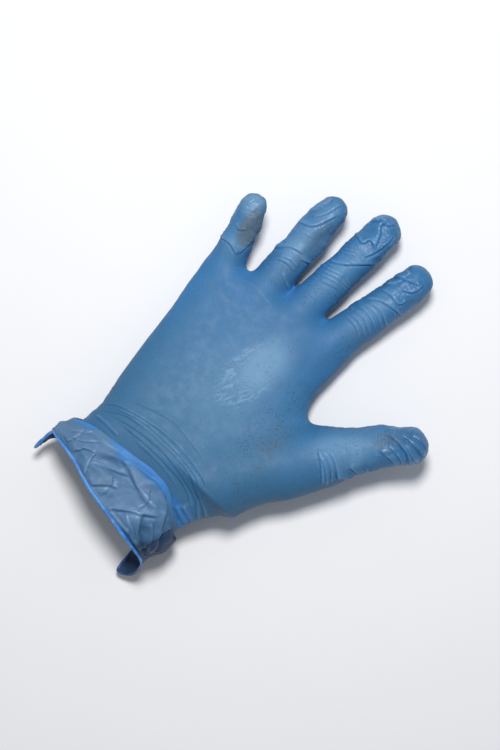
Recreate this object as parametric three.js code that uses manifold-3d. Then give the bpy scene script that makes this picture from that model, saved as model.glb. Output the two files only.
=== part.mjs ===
// Disposable dipped glove, right hand, palm up, keeping the shape of the hand that wore it.
// Millimetres. +Y runs from the cuff to the fingertips, +X to the thumb, +Z out of the palm.
// The origin is on the flat of the back of the hand, under the middle of the palm.
// The glove is one film. It is split here into the zones that bend apart from each other.
import * as THREE from "three";
import { mergeVertices } from "three/addons/utils/BufferGeometryUtils.js";
import Module from "manifold-3d";

// ---- driving dimensions ----
const WALL = 0.8; // thickness of each shell
const GAP = 0.3; // clearance between neighbouring zones
const FINGER_SIDES = 16;
const PALM_SIDES = 28;
const CUFF_SIDES = 36;
const FLATTEN = 0.94; // a finger's thickness over its width

// root is where the finger's axis passes the crotches beside it; stations along the axis count from there.
// yaw turns the finger towards the thumb, pitch lifts it off the back of the hand.
// joints are the hinge stations of knuckle, middle and tip joint; folds are half the length of each fold.
const FINGERS = [
  {
    name: "index",
    root: [25, 66, 12.2],
    yaw: 9.5,
    pitch: 6,
    length: 54,
    radius: { root: 11, knuckle: 10.6, middle: 9.6, tip: 9.0 },
    joints: [7, 23, 39],
    folds: [4, 4, 2.5],
  },
  {
    name: "middle",
    root: [0, 62, 12.2],
    yaw: 1.7,
    pitch: 5,
    length: 64.5,
    radius: { root: 10.8, knuckle: 10.5, middle: 9.8, tip: 9.2 },
    joints: [8, 27, 46],
    folds: [4, 4, 2.5],
  },
  {
    name: "ring",
    root: [-22.5, 55, 12.2],
    yaw: -4,
    pitch: 6,
    length: 58.8,
    radius: { root: 10.4, knuckle: 10.2, middle: 9.5, tip: 8.9 },
    joints: [8, 25, 42],
    folds: [4, 4, 2.5],
  },
  {
    name: "little",
    root: [-45.4, 47.5, 12],
    yaw: -19,
    pitch: 20,
    length: 41.5,
    radius: { root: 9.8, knuckle: 9.2, middle: 8.1, tip: 7.5 },
    joints: [6, 18.5, 29.5],
    folds: [3.6, 3.6, 2.3],
  },
];

const THUMB = {
  name: "thumb",
  root: [63.2, 8.5, 20],
  yaw: 37.8,
  pitch: 5,
  roll: -50, // turns the pad towards the fingers
  length: 58,
  radius: { root: 14.2, knuckle: 13.2, middle: 12.0, tip: 10.9 },
  joints: [8, 34],
  folds: [4.5, 4],
};
// The ball of the thumb, from the heel of the hand to the thumb's root: centre and radius.
const THUMB_BALL = [
  { at: [25.5, -53, 20], radius: 18.5 },
  { at: [33, -38.5, 20.5], radius: 20 },
  { at: [48.6, -13.5, 20.5], radius: 17.2 },
  { at: [63.2, 8.5, 20], radius: 14.2 },
];

// Palm sections from the wrist to the crotches: y, left and right edge, low and high side, and how
// much further towards the fingers the section lies for each millimetre of X.
const PALM = [
  { y: -49.7, left: -38.9, right: 49.3, low: 0.6, high: 38.5, slant: 0 },
  { y: -38, left: -41.2, right: 46, low: 0, high: 37, slant: 0 },
  { y: -18, left: -44.8, right: 49, low: 0, high: 34, slant: 0 },
  { y: 0, left: -47.8, right: 53, low: 0, high: 30.5, slant: 0.04 },
  { y: 12, left: -49.6, right: 46.5, low: 0, high: 28.5, slant: 0.07 },
  { y: 21, left: -51, right: 40, low: 0, high: 27, slant: 0.1 },
  { y: 40, left: -53.4, right: 37, low: 0, high: 25, slant: 0.16 },
  { y: 52, left: -53.4, right: 35, low: 0.6, high: 23, slant: 0.2 },
  { y: 56.5, left: -48, right: 31, low: 4, high: 19.5, slant: 0.2 },
];

const WRIST = { top: -50, bottom: -70 }; // the fold between hand and cuff
const WRIST_SECTIONS = [
  { y: WRIST.bottom, left: -46, right: 39.2, low: 1, high: 41.5, slant: 0 },
  { y: -64, left: -43, right: 40.6, low: 1, high: 40, slant: 0 },
  { y: -60, left: -40.3, right: 41.5, low: 1, high: 38.5, slant: 0 },
  { y: -55.5, left: -39.3, right: 45.3, low: 1, high: 38.5, slant: 0 },
  { y: WRIST.top, left: -38.9, right: 49.3, low: 0.6, high: 38.5, slant: 0 },
];
const CUFF_TOP = { left: -46, right: 39.2, low: 1, high: 41.5 };

// The rim of the loose cuff, clockwise as seen from the fingers: over the palm side, down past the
// tail on the thumb side, back under the arm, and up the wing on the little finger's side.
const RIM = [
  [-48.6, -81, 27],
  [-43, -82, 35],
  [-29.5, -84.3, 41.5],
  [-12.5, -89, 44.5],
  [8.6, -92.2, 44.5],
  [24, -94.3, 40],
  [34, -96.5, 31],
  [36.2, -101, 19],
  [28.5, -109.5, 7.5],
  [15, -98, 4],
  [-2, -90, 3.2],
  [-20, -86, 3.4],
  [-37, -88, 6.5],
  [-48.2, -95.2, 14.5],
];
const BEAD_RADIUS = 0.9;

// ---- solids ----
const wasm = await Module();
wasm.setup();

// A closed three.js geometry as a manifold-3d solid.
function solid(geometry) {
  const bare = geometry.clone();
  bare.deleteAttribute("normal");
  bare.deleteAttribute("uv");
  const merged = mergeVertices(bare, 1e-3);
  const corners = Array.from(merged.index.array);
  const triVerts = [];
  for (let i = 0; i < corners.length; i += 3) {
    const [a, b, c] = corners.slice(i, i + 3);
    if (a !== b && b !== c && c !== a) triVerts.push(a, b, c);
  }
  return new wasm.Manifold(
    new wasm.Mesh({
      numProp: 3,
      vertProperties: merged.attributes.position.array,
      triVerts: new Uint32Array(triVerts),
    }),
  );
}

// A manifold-3d solid as a three.js geometry.
function geometryOf(made) {
  const mesh = made.getMesh();
  const points = new Float32Array(mesh.numVert * 3);
  for (let i = 0; i < mesh.numVert; i++) {
    points.set(mesh.vertProperties.subarray(i * mesh.numProp, i * mesh.numProp + 3), i * 3);
  }
  const geometry = new THREE.BufferGeometry();
  geometry.setAttribute("position", new THREE.BufferAttribute(points, 3));
  geometry.setIndex(new THREE.BufferAttribute(new Uint32Array(mesh.triVerts), 1));
  geometry.computeVertexNormals();
  return geometry;
}

// Everything between two stations along Y, as a box to cut with.
function slab(from, to) {
  const reach = 400;
  const box = new THREE.BoxGeometry(reach, to - from, reach);
  return solid(box.translate(0, (from + to) / 2, 0));
}

// ---- finger stalls ----
// A stall from a station in the hand to its round tip, shrunk all over by inset.
function stallSolid(finger, from, inset) {
  const { length, radius, joints } = finger;
  const straight = length - radius.tip; // where the round tip begins
  const stations = [from, joints[0], joints[1], straight];
  const radii = [radius.root, radius.knuckle, radius.middle, radius.tip];
  const profile = [new THREE.Vector2(0, from)];
  stations.forEach((s, i) => profile.push(new THREE.Vector2(radii[i] - inset, s)));
  const round = radius.tip - inset;
  const domeSteps = 4;
  for (let i = 1; i < domeSteps; i++) {
    const angle = (i / domeSteps) * (Math.PI / 2);
    profile.push(new THREE.Vector2(round * Math.cos(angle), straight + round * Math.sin(angle)));
  }
  profile.push(new THREE.Vector2(0, straight + round));
  const lathe = new THREE.LatheGeometry(profile, FINGER_SIDES);
  return solid(lathe.scale(1, 1, FLATTEN));
}

// The frame of a finger: its local Y runs along the finger, and its local Z out of the pad.
function fingerFrame(finger) {
  const group = new THREE.Group();
  group.position.set(...finger.root);
  const turn = THREE.MathUtils.degToRad;
  group.rotation.set(turn(finger.pitch), turn(finger.roll ?? 0), turn(-finger.yaw), "ZXY");
  group.updateMatrix();
  return group;
}

const material = (color) =>
  new THREE.MeshStandardMaterial({ color, roughness: 0.45, metalness: 0, side: THREE.DoubleSide });
const film = material(0x4f86b8);
const foldFilm = material(0x5b92c4);
const cuffFilm = material(0x6a8db0);
const beadFilm = material(0x3b7fce);

function piece(name, made, paint) {
  const mesh = new THREE.Mesh(geometryOf(made), paint);
  mesh.name = name;
  return mesh;
}

// One stall as zones: a fold over each joint, and a stiffer length of film after it.
function stallZones(finger, foldNames, lengthNames) {
  const start = finger.joints[0] - finger.folds[0];
  const shell = stallSolid(finger, start - 10, 0).subtract(stallSolid(finger, start - 12, WALL));
  const group = fingerFrame(finger);
  finger.joints.forEach((station, i) => {
    const half = finger.folds[i];
    const next = finger.joints[i + 1];
    const end = next === undefined ? finger.length + 10 : next - finger.folds[i + 1];
    const fold = shell.intersect(slab(station - half + GAP, station + half - GAP));
    const length = shell.intersect(slab(station + half, end));
    group.add(piece(finger.name + "_" + foldNames[i], fold, foldFilm));
    group.add(piece(finger.name + "_" + lengthNames[i], length, film));
  });
  return group;
}

// ---- lofted sections ----
// A closed solid through sections across Y. Each is a rounded box between its edges, with a flat
// underside where it is cut off at its low height.
function loft(sections, sides, inset) {
  const rings = sections.length - 1;
  const drum = new THREE.CylinderGeometry(1, 1, 1, sides, rings);
  const points = drum.getAttribute("position");
  for (let i = 0; i < points.count; i++) {
    const along = (points.getY(i) + 0.5) * rings;
    const section = sections[Math.round(along)];
    const [x, z] = onSection(section, points.getX(i), points.getZ(i), inset);
    points.setXYZ(i, x, section.y + section.slant * x, z);
  }
  return solid(drum);
}

// A point of a unit disc carried onto a section.
function onSection(section, unitX, unitZ, inset) {
  const squareness = 0.35; // 0 is an ellipse, 1 is a box
  const size = Math.hypot(unitX, unitZ);
  const largest = Math.max(Math.abs(unitX), Math.abs(unitZ), 1e-9);
  const swell = size === 0 ? 0 : THREE.MathUtils.lerp(1, size / largest, squareness * 0.5);
  const halfWidth = (section.right - section.left) / 2 - inset;
  const bulge = 1.12; // the round underside would reach lower than the flat that cuts it
  const halfHeight = ((section.high - section.low) / 2) * bulge - inset;
  const middleX = (section.left + section.right) / 2;
  const middleZ = section.high - inset - halfHeight;
  const x = middleX + unitX * swell * halfWidth;
  const z = middleZ + unitZ * swell * halfHeight;
  return [x, THREE.MathUtils.clamp(z, section.low + inset, section.high - inset)];
}

// A tube through centres with a radius at each, along the ball of the thumb.
function ballSolid(inset) {
  const rings = THUMB_BALL.length - 1;
  const drum = new THREE.CylinderGeometry(1, 1, 1, FINGER_SIDES, rings);
  const points = drum.getAttribute("position");
  const across = new THREE.Vector3(0.81, -0.586, 0); // square to the thumb, in the plane of the hand
  for (let i = 0; i < points.count; i++) {
    const station = THUMB_BALL[Math.round((points.getY(i) + 0.5) * rings)];
    const radius = station.radius - inset;
    const place = new THREE.Vector3(...station.at);
    place.addScaledVector(across, points.getX(i) * radius);
    place.z += points.getZ(i) * radius * 0.96;
    points.setXYZ(i, place.x, place.y, Math.max(place.z, inset));
  }
  return solid(drum);
}

// The hand: palm, finger roots and ball of the thumb, as one hollow zone.
function handShell() {
  const rootLength = 10; // how far a stall runs back into the palm
  const openEnd = 5; // how far the inside runs past the wrist
  const overlap = 2; // how much further back the inside of a stall runs, to open into the palm
  const whole = (inset) => {
    const sections = PALM.map((s) => ({ ...s }));
    if (inset) {
      sections[0].y -= openEnd;
      sections[sections.length - 1].y -= inset;
    }
    let made = loft(sections, PALM_SIDES, inset).add(ballSolid(inset));
    for (const digit of [...FINGERS, THUMB]) {
      const foldStart = digit.joints[0] - digit.folds[0];
      const stub = stallSolid(digit, foldStart - rootLength - (inset ? overlap : 0), inset);
      const end = foldStart + (inset ? overlap : 0);
      const cut = stub.intersect(slab(-100, end));
      made = made.add(cut.transform(fingerFrame(digit).matrix.elements));
    }
    return made;
  };
  const front = slab(PALM[0].y, 200);
  return whole(0).subtract(whole(WALL)).intersect(front);
}

// The film between the hand and the cuff, which bends with the wrist.
function wristShell() {
  const outer = loft(WRIST_SECTIONS, CUFF_SIDES, 0);
  const longer = WRIST_SECTIONS.map((s) => ({ ...s }));
  longer[0].y -= 2;
  longer[longer.length - 1].y += 2;
  const inner = loft(longer, CUFF_SIDES, WALL);
  return outer.subtract(inner).intersect(slab(WRIST.bottom + GAP, WRIST.top - GAP));
}

// ---- cuff ----
const CUFF_AXIS = new THREE.Vector3(-3, 0, 21); // a line along Y through the middle of the cuff
const CUFF_MIDDLE = CUFF_AXIS.clone().setY(-88); // where the faces of its open end meet
const rimCurve = new THREE.CatmullRomCurve3(
  RIM.map((p) => new THREE.Vector3(...p)),
  true,
);
// Points along the rim, each with its direction around the cuff's axis.
const rimSamples = rimCurve.getPoints(600).map((point) => {
  const heightScale = 1.9; // the cuff is this much wider than it is high
  const turn = Math.atan2((point.z - CUFF_AXIS.z) * heightScale, point.x - CUFF_AXIS.x);
  return { point, turn };
});

// The rim's point in a direction around the cuff.
function rimPoint(wanted) {
  const off = ({ turn }) => Math.abs(Math.atan2(Math.sin(turn - wanted), Math.cos(turn - wanted)));
  return rimSamples.reduce((best, s) => (off(s) < off(best) ? s : best)).point;
}

// The loose cuff, from its round top section to the wavy rim. A shrunk one runs past both ends.
function cuffSolid(inset) {
  const past = inset ? 0.12 : 0; // as a share of the cuff's length
  const drum = new THREE.CylinderGeometry(1, 1, 1, CUFF_SIDES, 2);
  const points = drum.getAttribute("position");
  for (let i = 0; i < points.count; i++) {
    const unitX = points.getX(i);
    const unitZ = points.getZ(i);
    const fromHand = THREE.MathUtils.lerp(-past, 1 + past, 0.5 - points.getY(i));
    const size = Math.min(1, Math.hypot(unitX, unitZ)); // 0 at the middle of an end's face
    const [topX, topZ] = onSection(CUFF_TOP, unitX, unitZ, inset);
    const top = new THREE.Vector3(topX, WRIST.bottom, topZ);
    const rim = rimPoint(Math.atan2(unitZ, unitX)).clone();
    const inward = CUFF_AXIS.clone().setY(rim.y).sub(rim).normalize();
    rim.addScaledVector(inward, inset);
    rim.lerp(CUFF_MIDDLE, 1 - size);
    const place = top.lerp(rim, fromHand);
    points.setXYZ(i, place.x, place.y, place.z);
  }
  return solid(drum);
}

function cuffShell() {
  return cuffSolid(0).subtract(cuffSolid(WALL)).intersect(slab(-200, WRIST.bottom));
}

// The rolled rim, just past the end of the cuff's film.
function beadGeometry() {
  const steps = 64;
  const ringSides = 6;
  const path = [];
  for (let i = 0; i < steps; i++) {
    const point = rimCurve.getPoint(i / steps);
    const outward = point.clone().sub(CUFF_AXIS).setY(0).normalize();
    const past = rimCurve.getTangent(i / steps).cross(outward).normalize();
    if (past.y > 0) past.negate();
    point.addScaledVector(past, BEAD_RADIUS + 2 * GAP);
    path.push(point.addScaledVector(outward, -WALL / 2));
  }
  const curve = new THREE.CatmullRomCurve3(path, true);
  return new THREE.TubeGeometry(curve, steps, BEAD_RADIUS, ringSides, true);
}

// ---- the glove ----
const glove = new THREE.Group();
glove.add(piece("palm_and_back", handShell(), film));
for (const finger of FINGERS) {
  glove.add(
    stallZones(finger, ["knuckle_fold", "middle_fold", "tip_fold"], ["lower_stall", "middle_stall", "stall_tip"]),
  );
}
glove.add(stallZones(THUMB, ["knuckle_fold", "tip_fold"], ["lower_stall", "stall_tip"]));
glove.add(piece("wrist_fold", wristShell(), foldFilm));
glove.add(piece("cuff", cuffShell(), cuffFilm));
const bead = new THREE.Mesh(beadGeometry(), beadFilm);
bead.name = "cuff_bead";
glove.add(bead);

export default glove;
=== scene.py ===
"""A worn disposable glove in thin blue nitrile, right hand, palm up, on a pale table.

The hand part is one distance field, meshed once, wrinkled, and cut at the joints into pieces. The cuff is
a loft from the wrist to the wavy rim, crumpled as cloth.
Shapes are worked out in millimetres in the CAD frame, and turned to metres when a piece is made.
"""

import math

import bmesh
import bpy
import numpy as np
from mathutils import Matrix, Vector


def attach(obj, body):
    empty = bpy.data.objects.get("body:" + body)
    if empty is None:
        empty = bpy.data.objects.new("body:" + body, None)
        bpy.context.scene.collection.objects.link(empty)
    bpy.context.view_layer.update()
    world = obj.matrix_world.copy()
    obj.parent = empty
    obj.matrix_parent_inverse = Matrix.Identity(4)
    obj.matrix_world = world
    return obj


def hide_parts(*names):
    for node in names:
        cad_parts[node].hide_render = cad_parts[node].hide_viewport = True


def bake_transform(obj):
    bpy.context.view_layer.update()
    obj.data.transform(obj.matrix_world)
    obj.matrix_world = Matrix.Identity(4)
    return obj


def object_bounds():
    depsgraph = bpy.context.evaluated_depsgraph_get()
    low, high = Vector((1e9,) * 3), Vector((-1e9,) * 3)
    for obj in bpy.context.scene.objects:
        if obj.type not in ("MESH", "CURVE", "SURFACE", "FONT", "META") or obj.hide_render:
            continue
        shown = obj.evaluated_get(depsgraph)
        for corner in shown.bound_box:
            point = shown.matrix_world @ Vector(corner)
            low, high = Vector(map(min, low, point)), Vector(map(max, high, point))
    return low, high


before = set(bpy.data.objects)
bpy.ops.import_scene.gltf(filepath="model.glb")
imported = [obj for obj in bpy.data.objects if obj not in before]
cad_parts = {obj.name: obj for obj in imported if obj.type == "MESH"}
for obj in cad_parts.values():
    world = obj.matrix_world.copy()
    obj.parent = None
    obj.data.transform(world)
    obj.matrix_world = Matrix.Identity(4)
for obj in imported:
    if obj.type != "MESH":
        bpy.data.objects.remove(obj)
cad_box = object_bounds()

MM = 0.001
NET_CELL = 1.2  # size of the hand's mesh faces before they are divided
CELL = 0.6  # and after

# ---- driving dimensions, in the CAD model's frame ----
FLATTEN = 0.94  # a finger's thickness over its width
# root is where the finger's axis passes the crotches; stations along the axis count from there.
# bends gives the middle and the half length of the film that bends at each joint, and cuts where
# its pieces begin. The first cut and bend run aslant, from crotch to crotch: slant is their rise.
# stray is how far a digit's film may stand off its axis's own tube: the thumb's runs into its ball.
DIGITS = {
    "index": dict(
        root=(25.8, 66, 12.2), yaw=9.5, pitch=6, roll=0, length=54,
        radius=((-30, 10.6), (0, 11), (7, 10.6), (15, 10.5), (23, 9.7), (31, 9.9), (45, 9.1)),
        bends=((7, 6.5), (23, 8), (39, 6)), cuts=(0.2, 14.2, 32), slant=0, stray=2.5,
    ),
    "middle": dict(
        root=(0.4, 62, 12.2), yaw=1.7, pitch=5, roll=0, length=64.5,
        radius=((-30, 10.4), (0, 10.8), (8, 10.5), (17, 10.4), (27, 9.7), (37, 10), (55, 9.2)),
        bends=((9.6, 4.9), (27, 8), (46, 6)), cuts=(3.4, 16.8, 37.5), slant=-0.1, stray=2.5,
    ),
    "ring": dict(
        root=(-22.1, 55, 12.2), yaw=-4, pitch=6, roll=0, length=58.8,
        radius=((-30, 10.2), (0, 10.4), (8, 10.2), (16, 10.1), (25, 9.4), (34, 9.6), (50, 8.9)),
        bends=((9.8, 2.9), (25, 8), (42, 6)), cuts=(4.6, 16.8, 34.5), slant=0.4, stray=2.5,
    ),
    "little": dict(
        root=(-46.2, 47.5, 12), yaw=-18.4, pitch=20, roll=0, length=41.5,
        radius=((-20, 9.8), (0, 9.8), (6, 9.2), (12, 8.8), (18.5, 8), (25, 8.3), (33.2, 7.5)),
        bends=((5.3, 4.7), (18.5, 6.3), (29.5, 4.4)), cuts=(0.4, 11.8, 25), slant=0.2, stray=2.5,
    ),
    "thumb": dict(
        root=(63.2, 8.5, 20), yaw=37.8, pitch=5, roll=-50, length=58,
        radius=((-12, 14.2), (0, 13.4), (8, 12.8), (22, 12.3), (34, 11.7), (47, 10.4)),
        bends=((8, 8), (34, 9)), cuts=(-0.3, 20.5), slant=0, stray=8,
    ),
}
FINGER_NAMES = ("index", "middle", "ring", "little")
WIDEST = 16.5  # no digit is this far from its axis
# The ball of the thumb, from the heel of the hand to the thumb's root: x, y, z, radius.
THUMB_BALL = (
    (26.8, -53, 20, 19.1),
    (33, -38.5, 20.5, 20),
    (48.4, -13.3, 20.5, 16.7),
    (63.2, 8.5, 20, 13.4),
)
# Sections of the palm: y, left and right edge, low and high side, and the slant of the section.
PALM = (
    (-62, -38.8, 40.5, 0.6, 37.5, 0),
    (-49.7, -40.1, 43, 0.4, 38, 0),
    (-38, -42.8, 44, 0, 36.8, 0),
    (-18, -46, 46, 0, 33.5, 0),
    (0, -48.4, 49.5, 0, 30.5, 0.04),
    (12, -50, 44.3, 0, 28.5, 0.07),
    (21, -51.3, 38.8, 0, 27, 0.1),
    (40, -53.7, 36.5, 0.4, 25, 0.16),
    (52, -53.8, 35, 2, 23.4, 0.2),
    (62, -50.6, 32, 4, 22, 0.2),
)
SQUARENESS = 2.5  # of the sections of palm and wrist: 2 would be an ellipse, and more is boxier
PALM_FRONT = 58.5  # where the palm's front, slanted like its last section, lies on the middle line
HAND_END = -46  # the hand's mesh ends here, and the wrist's rings begin
WRIST_X, WRIST_Z = 1, 19  # the wrist's middle there
WRIST_BEND = (-48, -69)  # two places along the wrist's film, in y
WRIST_CUT = -72.5  # where the wrist's film ends and the cuff's begins
FOLD_Y = -58  # where the loose cuff folds over the wrist, on the middle line
# The edge of that fold, seen from above: x and y.
FOLD_EDGE = ((-46, -70), (-35, -64.3), (-21, -61.3), (-8, -59.3), (5, -57.8), (17, -58.8),
             (29, -66.8), (36, -71.5), (40, -72.5))
# The rim of the loose cuff: over the palm side, down past the tail on the thumb side, back under
# the arm, and up the wing on the little finger's side.
RIM = (
    (-47.4, -82, 27), (-43, -81, 35), (-29.5, -82.3, 41.5), (-12.5, -86.7, 44.5), (8.6, -90.2, 44.5),
    (24, -93.1, 40), (33.6, -96, 31), (36.6, -101.5, 19), (35, -108.6, 9), (28.6, -110.8, 5.5),
    (27.6, -98, 3.6), (15, -90, 3.2), (-2, -86, 3.2), (-22, -81, 3.4), (-38, -80, 5),
    (-46.5, -86, 9), (-48.4, -95, 15),
)
BEAD_RADIUS = 0.75
CUFF_OVER_TABLE, FILM_OVER_TABLE = 0.3, 0.05  # the least heights, before and after the wrinkles
# How far along from the hand's end to the rim the valley under the fold, the fold's edge and the
# rim lie, and where the film is loose enough to buckle.
VALLEY, FOLD, RIM_END = 20, 23, 54
LOOSE_FROM = 0.44

# ---- folds that are placed on the palm side: lift, width, and the points they run through.
# The groove of a fold lies to the right of the way it runs.
FINGER_FOLDS = (
    (0.9, 0.6, (-59, 54), (-51, 55), (-44, 53)),
    (0.7, 0.55, (-57, 65), (-53, 63.5), (-50.5, 66.5)),
    (0.6, 0.55, (-58.5, 75), (-58, 79.5), (-56, 84)),
    (0.7, 0.6, (-44.5, 54), (-44.5, 62), (-45.5, 69)),
    (1.0, 0.65, (-34, 70), (-28, 76), (-19, 79)),
    (1.0, 0.6, (-20, 75.5), (-14.5, 78.5), (-15, 88), (-16.5, 97)),
    (1.0, 0.65, (-34, 89), (-27.6, 91.6), (-24.3, 97.4), (-22, 106)),
    (0.9, 0.6, (-30, 95), (-26.3, 102), (-24.5, 111)),
    (0.8, 0.6, (-33, 96), (-31, 104), (-29.5, 110)),
    (0.5, 0.6, (-28.5, 69), (-23, 71.5), (-17, 71.5)),
    (0.5, 0.6, (-29, 66.5), (-23, 69), (-16.5, 69)),
    (0.5, 0.55, (-21, 63.5), (-16.5, 61.5), (-11, 60)),
    (1.0, 0.65, (-9.5, 85), (-2, 89), (3.3, 94), (12, 104)),
    (1.0, 0.6, (-7, 106), (-2, 104.5), (-0.5, 108.4), (4.6, 107.5)),
    (1.1, 0.65, (4.4, 106), (1.5, 113), (-1.8, 117.4), (-1, 122)),
    (0.8, 0.6, (-7, 116.5), (-3, 120), (0.5, 120.3), (3, 124)),
    (0.9, 0.65, (3, 99), (6, 106), (6.8, 113), (6.6, 120)),
    (0.45, 0.6, (-6, 79.5), (-1, 81.5), (4.5, 83)),
    (0.45, 0.6, (-6, 82), (-1, 83.8), (4, 85)),
    (0.4, 0.6, (-4.5, 75), (0, 76.5), (6, 78.5)),
    (0.4, 0.6, (-6, 77), (-1, 79), (5, 80.7)),
    (0.5, 0.6, (20, 80), (28, 80), (36, 77)),
    (0.5, 0.6, (21, 83), (30, 83.2), (38, 80)),
    (0.55, 0.6, (22, 85.5), (31, 86), (39.5, 82)),
    (0.45, 0.6, (19.5, 74.3), (28, 73.6), (35, 70.5)),
    (0.45, 0.6, (18, 71.8), (26.6, 71), (33, 68)),
    (0.4, 0.6, (19.5, 77.3), (28, 76.8), (35.5, 73.5)),
    (0.9, 0.6, (19.5, 85), (26, 89.5), (33, 91.5), (41, 93)),
    (0.9, 0.6, (21.5, 95), (29, 95.5), (34.4, 95.5), (36, 100.5)),
    (0.9, 0.65, (21.5, 97), (26, 102.6), (27.3, 108), (27.8, 112)),
    (0.9, 0.6, (21.5, 104), (30, 107.8), (35.5, 110)),
    (0.8, 0.6, (30, 101.5), (35, 105), (36.5, 112)),
)
THUMB_FOLDS = (
    (0.9, 0.7, (57.5, 11), (65.5, 6), (73.5, -1.5)),
    (0.6, 0.5, (61, 9.5), (68, 6.5), (75, 0.5)),
    (0.8, 0.6, (60, 12.5), (68.5, 9.7), (76, 3)),
    (1.0, 0.7, (62.5, 14.5), (70, 12), (78, 6.5)),
    (0.8, 0.6, (74, 7.5), (79, 10.5), (83, 14.5)),
    (0.8, 0.6, (76, 16), (80.5, 16.9), (86, 18.5)),
    (0.7, 0.6, (82, 21.5), (86.5, 22.2), (91, 24)),
    (0.9, 0.7, (80.5, 33.5), (88, 34.3), (96, 34.7)),
    (0.9, 0.6, (81, 38), (90, 38.3), (98, 36.4)),
    (1.4, 0.8, (75.5, 42), (86, 43), (93, 42.2), (99.5, 39)),
    (1.1, 0.7, (82.5, 46.5), (91.6, 48), (100.5, 47.5)),
    (0.7, 0.6, (88, 45.2), (96, 43.5), (101.5, 42.5)),
    (0.6, 0.6, (86.5, 50.6), (93, 51.7), (99, 50.6)),
)
WRIST_FOLDS = (
    (0.5, 0.5, (-41, -55), (-32, -46.5), (-12, -40.7), (8, -39.2), (25, -41.7), (33, -45)),
    (0.4, 0.45, (-40, -57), (-25, -47.2), (-3, -44.2), (17.4, -44.7), (27, -48.5), (33, -52)),
    (0.45, 0.45, (-35, -53.5), (-14, -48.2), (8, -47.2), (28, -51.2), (36, -56)),
    (0.45, 0.5, (-28, -52.6), (-4, -50.2), (16.4, -50.7), (26, -53), (34, -58)),
    (0.4, 0.45, (-36, -50.2), (-18, -43.6), (2, -42), (20, -43.2), (31, -47.5)),
    (0.35, 0.45, (-14, -53.4), (-2, -52.5), (9, -52.9), (22, -55)),
    (0.28, 0.9, (-33, -41.2), (-10, -32.7), (3, -32.4), (20, -34.7)),
    (0.16, 0.8, (-20, -35), (-6, -29.5), (8, -29), (24, -33)),
    (0.6, 0.9, (28, -48), (36, -52), (42.5, -56)),
    (0.5, 0.8, (31, -51), (36, -56), (40.5, -60)),
    (0.9, 0.9, (28, -60), (34.5, -61.5), (39, -63)),
    (0.9, 0.9, (26, -62.5), (32, -65), (37, -66)),
    (0.5, 0.8, (-38, -58.5), (-29, -57.6), (-20, -57.8)),
    (0.18, 0.8, (-35, 46.5), (-25.6, 48.4), (-20, 48.1), (-12, 47.5)),
)
CUFF_FOLDS = (
    (1.9, 1.2, (33.5, -95.5), (23, -88.4), (17, -82), (14.4, -77.8)),
    (1.3, 1.0, (31, -94.6), (20.4, -89.4), (10.4, -88.6), (0.8, -87)),
    (1.4, 0.9, (0, -88.4), (9.3, -81.8), (15.4, -77.8), (21, -73)),
    (1.6, 1.2, (-10.5, -64.3), (-2.2, -66.5), (9.3, -72), (19, -72)),
    (1.1, 0.9, (-20, -77), (-11.2, -73), (-2, -68)),
    (0.9, 0.6, (-18.2, -84), (-20.3, -78.3), (-21.5, -71)),
    (1.1, 0.8, (-14.5, -86.5), (-8, -80.3), (-1, -77)),
    (0.9, 0.7, (-32, -80), (-27.3, -74.5), (-20.5, -71)),
    (1.6, 1.2, (34, -92), (29.5, -84), (24.5, -76), (20.5, -67)),
    (0.7, 0.6, (-37, -79), (-34, -73), (-35, -67)),
    (0.8, 0.4, (28, -95), (21, -91.5), (15, -86)),
    (0.7, 0.4, (31, -89), (25, -82), (21, -78)),
    (0.55, 0.6, (-36, -75), (-29, -71.5), (-24, -66)),
    (0.5, 0.5, (-40, -74), (-33.5, -69), (-31.5, -64.5)),
    (0.8, 0.6, (-6, -86), (-5, -80), (-9, -74.5)),
    (1.0, 0.8, (30, -93), (26.5, -86), (27.5, -78), (30, -72)),
    (0.8, 0.6, (26, -90), (17.5, -86.5), (9, -82.5)),
    (0.7, 0.6, (12, -79), (12.5, -73.5), (9, -67)),
)


# ---- small maths on arrays of points ----
def smooth_step(value, start, end):
    t = np.clip((value - start) / (end - start), 0, 1)
    return t * t * (3 - 2 * t)


def between(value, start, full, fading, end):
    """Rises from 0 at start to 1 at full, and falls from fading back to 0 at end."""
    return smooth_step(value, start, full) * (1 - smooth_step(value, fading, end))


def bump_at(value, middle, half):
    """1 at the middle, falling smoothly to 0 at half away from it."""
    return 1 - smooth_step(np.abs(value - middle), 0, half)


def smooth_curve(x, xs, ys):
    """A smooth curve through (xs, ys), flat beyond its ends. For one x, each of ys may be an array."""
    xs, ys = np.asarray(xs, float), np.asarray(ys, float)
    slope = np.gradient(ys, xs, axis=0)
    x = np.clip(x, xs[0], xs[-1])
    i = np.clip(np.searchsorted(xs, x, side="right") - 1, 0, len(xs) - 2)
    h = xs[i + 1] - xs[i]
    t = (x - xs[i]) / h
    a = (1 + 2 * t) * (1 - t) ** 2 * ys[i] + t * (1 - t) ** 2 * h * slope[i]
    return a + t * t * (3 - 2 * t) * ys[i + 1] + t * t * (t - 1) * h * slope[i + 1]


def curve_between(a, b, c, d, f):
    """Places at the shares f of the way from b to c, on a smooth curve through a, b, c and d."""
    return 0.5 * (2 * b + (c - a) * f + (2 * a - 5 * b + 4 * c - d) * f**2
                  + (3 * b - a - 3 * c + d) * f**3)


def from_segment(points, a, b):
    """Each point's nearest place on the segment from a to b, as a share of it, and the gap to it."""
    d = b - a
    t = np.clip((points - a) @ d / (d @ d), 0, 1)
    return t, points - a - t[:, None] * d


def smooth_min(a, b, reach):
    """The smaller of the two, with a rounded valley where they are within reach of each other."""
    mix = np.maximum(reach - np.abs(a - b), 0) / reach
    return np.minimum(a, b) - mix * mix * reach / 4


def smooth_max(a, b, reach):
    return -smooth_min(-a, -b, reach)


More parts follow.
